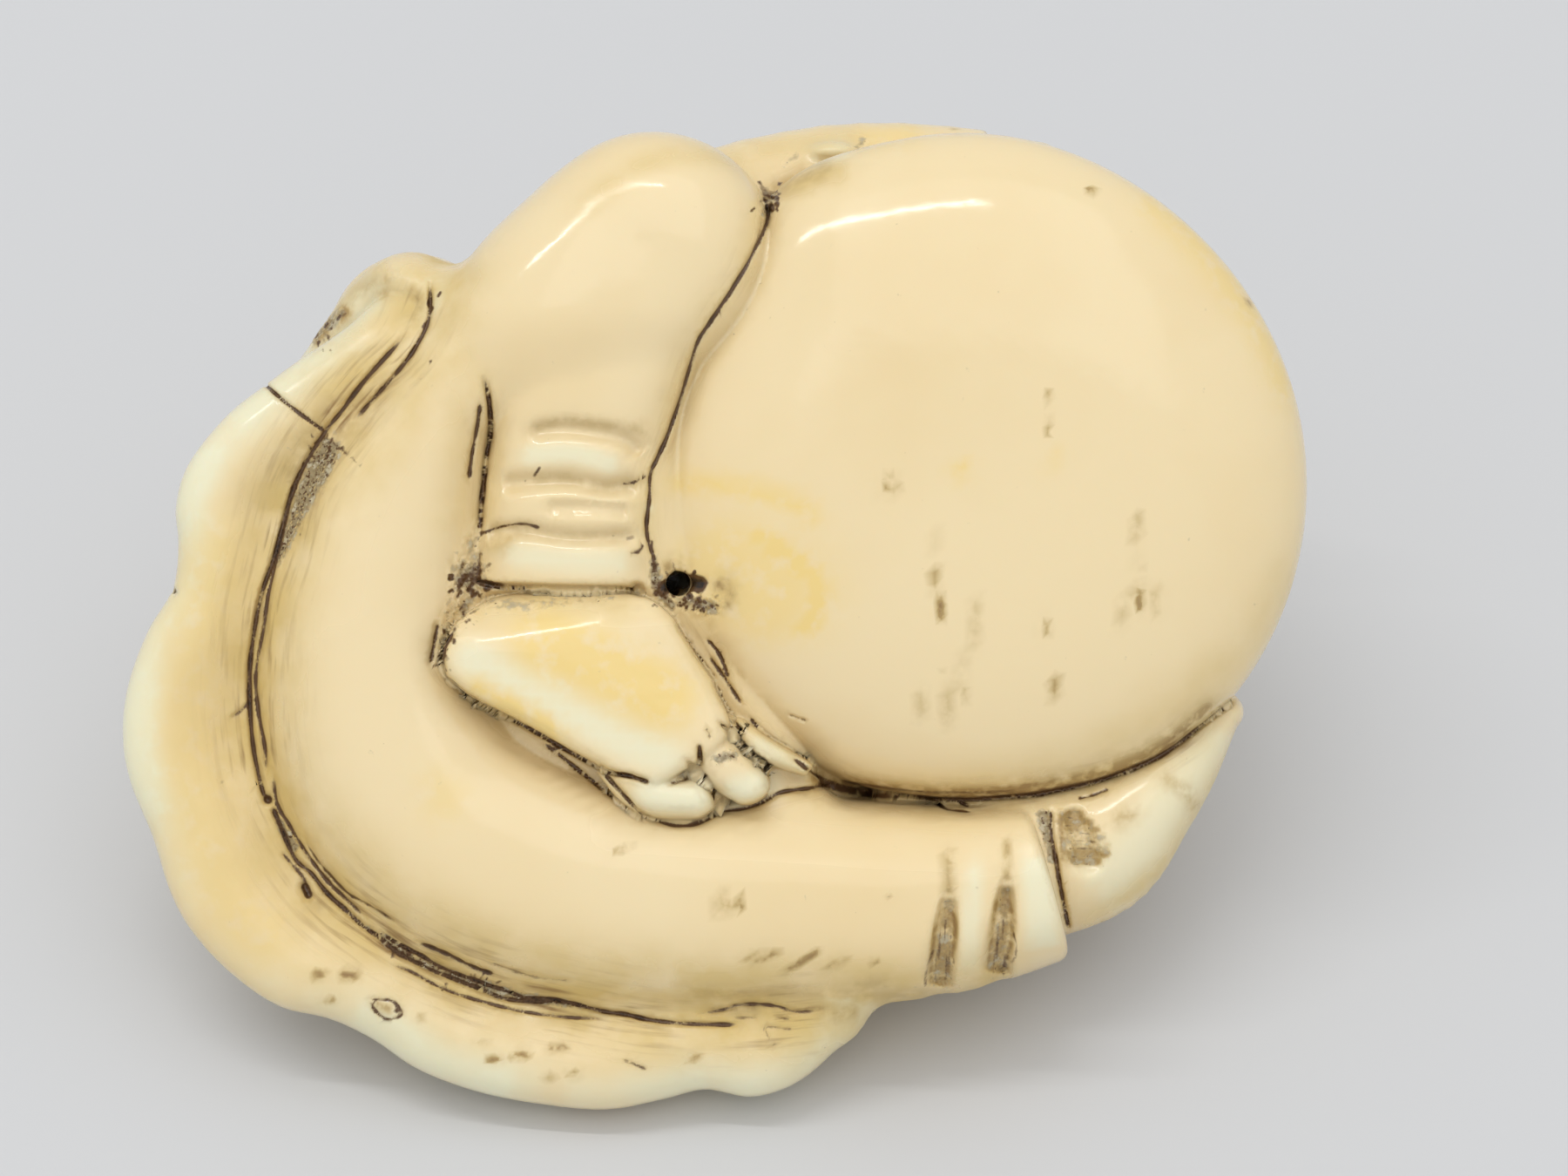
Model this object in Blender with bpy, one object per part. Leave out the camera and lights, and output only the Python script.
"""An ivory netsuke: a seated figure that hugs a big round sack, lying on its back with its underside up.

The carving is laid out in a flat frame of its own, in millimetres: +X along its length, +Y across it,
and +Z straight out of the underside. CARVING_TILT then lays it down on the plane that it rests on.
"""

import math

import bmesh
import bpy
from mathutils import Matrix, Vector

MM = 0.001

# The whole piece
CARVING_TILT = math.radians(45)  # the underside leans back this far from level
REST_DEPTH = 16.62  # from the frame's origin to the rest plane, square to it
CENTRE_OF_BOX = (-0.01, 5.0)  # the laid piece's middle, along X and Y, seen from that origin
REST_BLOCK = (70, 70, 10)  # cuts the worn flats; its top is the rest plane

# Fineness of the solid
VOXEL = 0.36
SMOOTHING_PASSES = 4
TRIANGLES_KEPT = 0.088  # share of the remeshed triangles
RING_POINTS = 28
STEPS_PER_SPAN = 5
CAP_RINGS = 4
ROUND_END, BLUNT_END = 0.9, 0.25  # length of a limb's end, as a share of its thickness

# Round sack: nearly circular, flat below and domed above
SACK_CENTRE = (10.4, 5.5)
SACK_RADIUS = 13.3
SACK_WAVES = [  # waves around, height, angle of a crest
    (2, 0.165, math.radians(97)),
    (3, 0.243, math.radians(90)),
    (4, 0.12, math.radians(21)),
]
SHOULDER = (0.58, math.radians(122), math.radians(13))  # a rise beside the knee: height, place, width
SACK_GIRTH_Z = -4.3  # height of its widest line
SACK_FACE, SACK_DOME = 5.2, 11.6  # depth below and above that line
SACK_FACE_POWER, SACK_DOME_POWER = 3.6, 2.3

# Limbs: (x, y, z, half width, half depth) at each station
RIGHT_SHIN = [
    (-5.9, 1.8, -3.6, 3.4, 4.4),
    (-5.7, 5.0, -3.7, 3.5, 4.5),
    (-4.8, 8.5, -3.9, 4.3, 4.7),
    (-3.6, 11.8, -4.1, 4.9, 4.8),
    (-2.3, 14.8, -4.4, 4.9, 4.8),
]
RIGHT_THIGH = [
    (-2.6, 14.7, -4.4, 4.4, 4.8),
    (-6.3, 11.6, -4.5, 4.5, 5.0),
    (-9.2, 7.6, -4.6, 4.4, 5.1),
    (-11.3, 4.6, -4.6, 4.5, 5.2),
    (-12.7, 1.5, -4.5, 4.7, 5.3),
    (-13.3, -1.6, -4.4, 4.9, 5.4),
]
LEFT_LEG = [
    (-12.7, 1.5, -4.5, 4.7, 5.3),
    (-13.3, -1.6, -4.4, 4.9, 5.4),
    (-12.8, -5.0, -4.4, 5.0, 5.4),
    (-10.6, -8.3, -4.4, 5.0, 5.4),
    (-6.9, -10.3, -4.4, 4.9, 5.4),
    (-2.6, -11.1, -4.4, 4.6, 5.3),
    (3.0, -11.4, -4.3, 4.2, 5.1),
    (7.0, -11.4, -4.2, 4.0, 4.9),
    (10.2, -11.2, -4.1, 3.8, 4.8),
    (13.0, -10.5, -4.0, 3.4, 4.7),
]
LEFT_FOOT = [
    (12.5, -9.7, -4.6, 3.0, 2.7),
    (15.2, -8.9, -4.7, 2.8, 2.6),
    (17.4, -7.1, -4.9, 2.3, 2.4),
    (19.3, -5.0, -5.2, 1.5, 2.1),
    (20.5, -3.8, -5.4, 0.7, 1.7),
]
RIGHT_ARM = [  # shoulder, elbow, sleeve, wrist and hand
    (-4.5, 6.0, -13.6, 3.2, 3.2),
    (-3.4, 11.0, -11.8, 3.5, 3.5),
    (-1.2, 15.0, -10.2, 3.6, 3.6),
    (3.2, 17.0, -10.0, 3.1, 3.1),
    (7.5, 17.8, -10.2, 2.6, 2.6),
    (11.0, 17.6, -10.6, 2.1, 2.4),
    (13.6, 16.6, -11.4, 1.5, 2.5),
    (16.0, 14.7, -11.9, 1.0, 2.0),
]
LEFT_ARM = [
    (-4.0, -1.5, -13.4, 3.2, 3.2),
    (-1.2, -5.6, -11.8, 3.5, 3.5),
    (3.0, -8.3, -10.7, 3.5, 3.5),
    (6.0, -8.4, -10.2, 3.1, 3.1),
    (8.6, -7.5, -10.9, 2.0, 2.5),
    (11.2, -6.5, -11.5, 1.5, 2.5),
    (13.4, -5.2, -11.9, 1.0, 2.0),
]

# Right foot, sole up: the outline of the sole, then the toes as (tail, tip, radius)
SOLE_OUTLINE = [
    (-10.7, -1.8), (-10.2, -0.6), (-9.0, 0.5), (-6.0, 1.0), (-3.0, 0.8), (-1.5, -0.2),
    (-0.3, -1.9), (0.6, -3.6), (1.0, -5.0), (0.0, -6.0), (-1.6, -6.8), (-3.2, -6.9),
    (-5.2, -5.6), (-7.4, -4.4), (-9.8, -2.9),
]
SOLE_Z = (-5.0, 1.3)  # below and at the sole
SOLE_EDGE = 1.1  # rounding of the sole's edge
TOES = [
    ((-2.9, -6.2, -0.1), (-0.8, -7.2, -0.1), 1.0),
    ((-0.4, -5.0, 0.0), (1.6, -6.3, -0.1), 0.9),
    ((1.0, -4.4, -0.4), (3.3, -6.0, -0.6), 0.7),
]

# Robe: the outline of its hem, then (z, share of that outline, shift of its middle) up to the shoulders
HEM_OUTLINE = [
    (-17.9, 9.3), (-19.6, 7.6), (-20.9, 6.0), (-21.5, 4.4), (-21.5, 2.8), (-21.8, 1.2),
    (-22.6, -0.6), (-23.4, -2.6), (-23.6, -4.7), (-23.2, -6.8), (-22.3, -8.9), (-21.7, -10.9),
    (-20.7, -12.7), (-19.2, -14.3), (-17.2, -15.6), (-15.2, -16.1), (-13.6, -16.9),
    (-11.8, -18.0), (-9.4, -19.0), (-6.8, -19.5), (-4.3, -19.6), (-2.2, -19.3), (-0.2, -19.2),
    (1.6, -19.2), (3.6, -18.4), (5.0, -17.1), (5.8, -15.2), (5.0, -10.0), (3.0, -3.0),
    (0.0, 4.0), (-4.0, 10.0), (-8.5, 13.2), (-11.5, 14.5), (-13.6, 14.3), (-15.5, 12.6), (-16.9, 10.8),
]
ROBE_MIDDLE = (-8.0, -1.5)
ROBE_LEVELS = [
    (-2.0, 0.90, (0.0, 0.0)),
    (-1.3, 0.945, (0.0, 0.0)),
    (-1.6, 0.98, (0.0, 0.0)),
    (-2.7, 1.0, (0.0, 0.0)),
    (-4.6, 0.99, (0.1, 0.1)),
    (-7.0, 0.88, (0.3, 0.8)),
    (-10.0, 0.75, (1.2, 1.8)),
    (-13.0, 0.57, (2.6, 3.0)),
    (-15.5, 0.38, (4.0, 3.6)),
    (-16.8, 0.20, (5.4, 3.8)),
]

# Larger rounded masses, then the head and its features: (centre, radii)
BODY = [
    ((-4.0, -2.5, -6.6), (12.5, 10.0, 6.3)),  # lap, under the right foot
    ((-6.0, 2.5, -9.5), (11.0, 10.5, 8.2)),  # back and shoulders
    ((-4.6, 11.2, -4.4), (5.0, 6.3, 4.9)),  # right knee
]
HEAD_CENTRE = (0.5, 1.9, -18.6)
HEAD_RADII = (5.0, 4.4, 5.8)
HEAD_NOD = math.radians(200)  # turns the crown away from the underside, and leans it back
HEAD_TURN = math.radians(180)  # brings the face round to the sack
EARS = [((-0.4, side * 4.3, -0.4), (1.1, 0.8, 1.7)) for side in (-1, 1)]
NOSE = ((4.9, 0.0, -0.9), (0.9, 0.8, 1.2))

# Cord hole: a bore of one width that runs from beside the right foot to the robe's back
CORD_HOLE = [
    (-1.1, 1.0, 3.0),
    (-1.3, 1.2, -1.0),
    (-3.0, 1.8, -5.5),
    (-7.5, 2.8, -9.0),
    (-13.0, 3.6, -10.8),
    (-19.0, 4.0, -11.5),
]
CORD_HOLE_RADIUS = 0.9


def curve_through(points, steps, closed=False):
    """Points of a smooth curve (Catmull-Rom) through the given ones, which may carry sizes after x, y, z."""
    count = len(points)
    spans = count if closed else count - 1

    def at(i):
        return Vector(points[i % count] if closed else points[min(max(i, 0), count - 1)])

    found = []
    for i in range(spans):
        before, start, end, after = (at(i + k) for k in (-1, 0, 1, 2))
        for step in range(steps):
            t = step / steps
            found.append(
                0.5
                * (
                    2 * start
                    + (end - before) * t
                    + (2 * before - 5 * start + 4 * end - after) * t**2
                    + (3 * start - before - 3 * end + after) * t**3
                )
            )
    if not closed:
        found.append(at(count - 1))
    return found


def add_loft(mesh, rings):
    """Skins a closed body over rings of equal length and closes both ends."""
    made = [[mesh.verts.new(point) for point in ring] for ring in rings]
    around = len(made[0])
    for low, high in zip(made, made[1:]):
        for i in range(around):
            j = (i + 1) % around
            mesh.faces.new((low[i], low[j], high[j], high[i]))
    mesh.faces.new(reversed(made[0]))
    mesh.faces.new(made[-1])


def limb_ring(centre, along, half_width, half_depth):
    """One oval section, square to the limb: its width lies level and its depth upright."""
    across = along.cross(Vector((0, 0, 1))).normalized()
    upright = across.cross(along).normalized()
    turns = [math.tau * i / RING_POINTS for i in range(RING_POINTS)]
    return [
        centre + across * half_width * math.cos(a) + upright * half_depth * math.sin(a)
        for a in turns
    ]


def add_limb(mesh, stations, reach=ROUND_END):
    """A limb swept through its stations, with each end closed in a quarter circle or flatter."""
    line = [(Vector(s[:3]), s[3], s[4]) for s in curve_through(stations, STEPS_PER_SPAN)]
    rings = []
    for i, (centre, width, depth) in enumerate(line):
        along = (line[min(i + 1, len(line) - 1)][0] - line[max(i - 1, 0)][0]).normalized()
        if i == 0:
            rings += cap_rings(centre, along, width, depth, -reach)
        rings.append(limb_ring(centre, along, width, depth))
        if i == len(line) - 1:
            rings += reversed(cap_rings(centre, along, width, depth, reach))
    add_loft(mesh, rings)


def cap_rings(centre, along, width, depth, reach):
    """Rings that close a limb's end, outermost first; a negative reach points back."""
    length = reach * min(width, depth)
    angles = [0.5 * math.pi * (1 - k / (CAP_RINGS + 0.5)) for k in range(1, CAP_RINGS + 1)]
    tip = 0.5 * math.pi * 0.96
    return [
        limb_ring(
            centre + along * length * math.sin(a), along, width * math.cos(a), depth * math.cos(a)
        )
        for a in [tip, *angles]
    ]


def add_ball(mesh, centre, radii, frame=Matrix()):
    """An ellipsoid, in a frame of its own."""
    place = frame @ Matrix.LocRotScale(Vector(centre), None, Vector(radii))
    bmesh.ops.create_uvsphere(mesh, u_segments=28, v_segments=16, radius=1, matrix=place)


def add_head(mesh):
    """The head, with its ears and nose, in a frame whose +X looks ahead and +Z points to the crown."""
    turned = Matrix.Rotation(HEAD_NOD, 4, "Y") @ Matrix.Rotation(HEAD_TURN, 4, "Z")
    frame = Matrix.Translation(HEAD_CENTRE) @ turned
    for centre, radii in (((0, 0, 0), HEAD_RADII), NOSE, *EARS):
        add_ball(mesh, centre, radii, frame)


def add_toe(mesh, tail, tip, radius):
    steps = [Vector(tail).lerp(Vector(tip), k / 2) for k in range(3)]
    add_limb(mesh, [(*point, radius, radius * 1.2) for point in steps])


def sack_radius(angle):
    """The sack's radius on its widest line."""
    height, place, width = SHOULDER
    rise = height * math.exp(-(((angle - place) / width) ** 2))
    return SACK_RADIUS + rise + sum(h * math.cos(count * (angle - crest)) for count, h, crest in SACK_WAVES)


def sack_ring(share, z):
    """One level of the sack: its outline, shrunk to a share of its size."""
    ring = []
    for i in range(2 * RING_POINTS):
        a = math.tau * i / (2 * RING_POINTS)
        radius = share * sack_radius(a)
        x, y = SACK_CENTRE
        ring.append(Vector((x + radius * math.cos(a), y + radius * math.sin(a), z)))
    return ring


def add_sack(mesh):
    """The sack, as level rings from the top of its dome down to its flat underside."""
    shares = [math.sin(0.5 * math.pi * k / 14) for k in range(1, 15)]
    dome = [
        sack_ring(s, SACK_GIRTH_Z - SACK_DOME * (1 - s**SACK_DOME_POWER) ** (1 / SACK_DOME_POWER))
        for s in shares
    ]
    face = [
        sack_ring(s, SACK_GIRTH_Z + SACK_FACE * (1 - s**SACK_FACE_POWER) ** (1 / SACK_FACE_POWER))
        for s in reversed(shares[:-1])
    ]
    add_loft(mesh, dome + face)


def outline_level(outline, middle, share, shift, z):
    return [
        Vector(
            (
                middle[0] + shift[0] + share * (x - middle[0]),
                middle[1] + shift[1] + share * (y - middle[1]),
                z,
            )
        )
        for x, y in outline
    ]


def add_robe(mesh):
    """The robe, from its scalloped hem up to the shoulders."""
    hem = [p[:2] for p in curve_through(HEM_OUTLINE, 3, closed=True)]
    add_loft(
        mesh,
        [outline_level(hem, ROBE_MIDDLE, share, shift, z) for z, share, shift in reversed(ROBE_LEVELS)],
    )


def add_sole(mesh):
    """The right foot's sole: its outline raised to SOLE_Z, with a rounded edge."""
    outline = [p[:2] for p in curve_through(SOLE_OUTLINE, 3, closed=True)]
    middle = [sum(p[k] for p in outline) / len(outline) for k in (0, 1)]
    half = max(math.dist(p, middle) for p in outline)
    levels = [(SOLE_Z[0], 1.0), (SOLE_Z[1] - SOLE_EDGE, 1.0)]
    for k in range(1, 5):
        a = 0.5 * math.pi * k / 4
        inset = SOLE_EDGE * (1 - math.cos(a)) / half
        levels.append((SOLE_Z[1] - SOLE_EDGE + SOLE_EDGE * math.sin(a), 1 - 2 * inset))
    add_loft(mesh, [outline_level(outline, middle, share, (0, 0), z) for z, share in levels])


def ivory():
    material = bpy.data.materials.new("ivory")
    material.use_nodes = True
    shader = material.node_tree.nodes["Principled BSDF"]
    shader.inputs["Base Color"].default_value = (0.86, 0.70, 0.45, 1)
    shader.inputs["Roughness"].default_value = 0.3
    shader.inputs["Metallic"].default_value = 0
    return material


def clear_scene():
    for thing in list(bpy.data.objects):
        bpy.data.objects.remove(thing, do_unlink=True)


def new_object(name, mesh):
    """An object made from a mesh that is in millimetres."""
    bmesh.ops.scale(mesh, vec=(MM, MM, MM), verts=mesh.verts)
    data = bpy.data.meshes.new(name)
    mesh.to_mesh(data)
    mesh.free()
    made = bpy.data.objects.new(name, data)
    bpy.context.scene.collection.objects.link(made)
    return made


def cutter(name, mesh):
    made = new_object(name, mesh)
    made.hide_render = True
    made.display_type = "WIRE"
    return made


def rest_block():
    """The block that wears the carving flat where it rests."""
    mesh = bmesh.new()
    size = Vector(REST_BLOCK)
    place = Matrix.LocRotScale(Vector((0, 0, -size.z / 2)), None, size)
    bmesh.ops.create_cube(mesh, size=1, matrix=place)
    return cutter("rest_block", mesh)


def cord_bore():
    """The bar that cuts the cord hole."""
    mesh = bmesh.new()
    add_limb(mesh, [(*point, CORD_HOLE_RADIUS, CORD_HOLE_RADIUS) for point in CORD_HOLE])
    bmesh.ops.recalc_face_normals(mesh, faces=mesh.faces)
    return cutter("cord_bore", mesh)


def carving():
    """Every form of the carving, sunk into its neighbours, in one mesh."""
    mesh = bmesh.new()
    for stations in (RIGHT_THIGH, RIGHT_SHIN, LEFT_FOOT, RIGHT_ARM, LEFT_ARM):
        add_limb(mesh, stations)
    add_limb(mesh, LEFT_LEG, BLUNT_END)
    for tail, tip, radius in TOES:
        add_toe(mesh, tail, tip, radius)
    for centre, radii in BODY:
        add_ball(mesh, centre, radii)
    add_head(mesh)
    add_sack(mesh)
    add_robe(mesh)
    add_sole(mesh)
    bmesh.ops.recalc_face_normals(mesh, faces=mesh.faces)
    return new_object("netsuke", mesh)


def make_solid(piece, cutters):
    """Fuses the overlapping forms into one skin, softens it, thins it out and makes the cuts."""
    fuse = piece.modifiers.new("fuse", "REMESH")
    fuse.mode = "VOXEL"
    fuse.voxel_size = VOXEL * MM
    soften = piece.modifiers.new("soften", "SMOOTH")
    soften.factor = 0.5
    soften.iterations = SMOOTHING_PASSES
    thin = piece.modifiers.new("thin", "DECIMATE")
    thin.ratio = TRIANGLES_KEPT
    for tool in cutters:
        cut = piece.modifiers.new(tool.name, "BOOLEAN")
        cut.operation = "DIFFERENCE"
        cut.object = tool


def lay_down(thing):
    """Puts a thing of the carving's frame where it lies on the rest plane."""
    x, y = CENTRE_OF_BOX
    thing.rotation_euler.x = CARVING_TILT
    thing.location = Vector((-x, -y, REST_DEPTH)) * MM


def main():
    clear_scene()
    piece = carving()
    bore = cord_bore()
    piece.data.materials.append(ivory())
    lay_down(piece)
    lay_down(bore)
    make_solid(piece, [rest_block(), bore])


main()
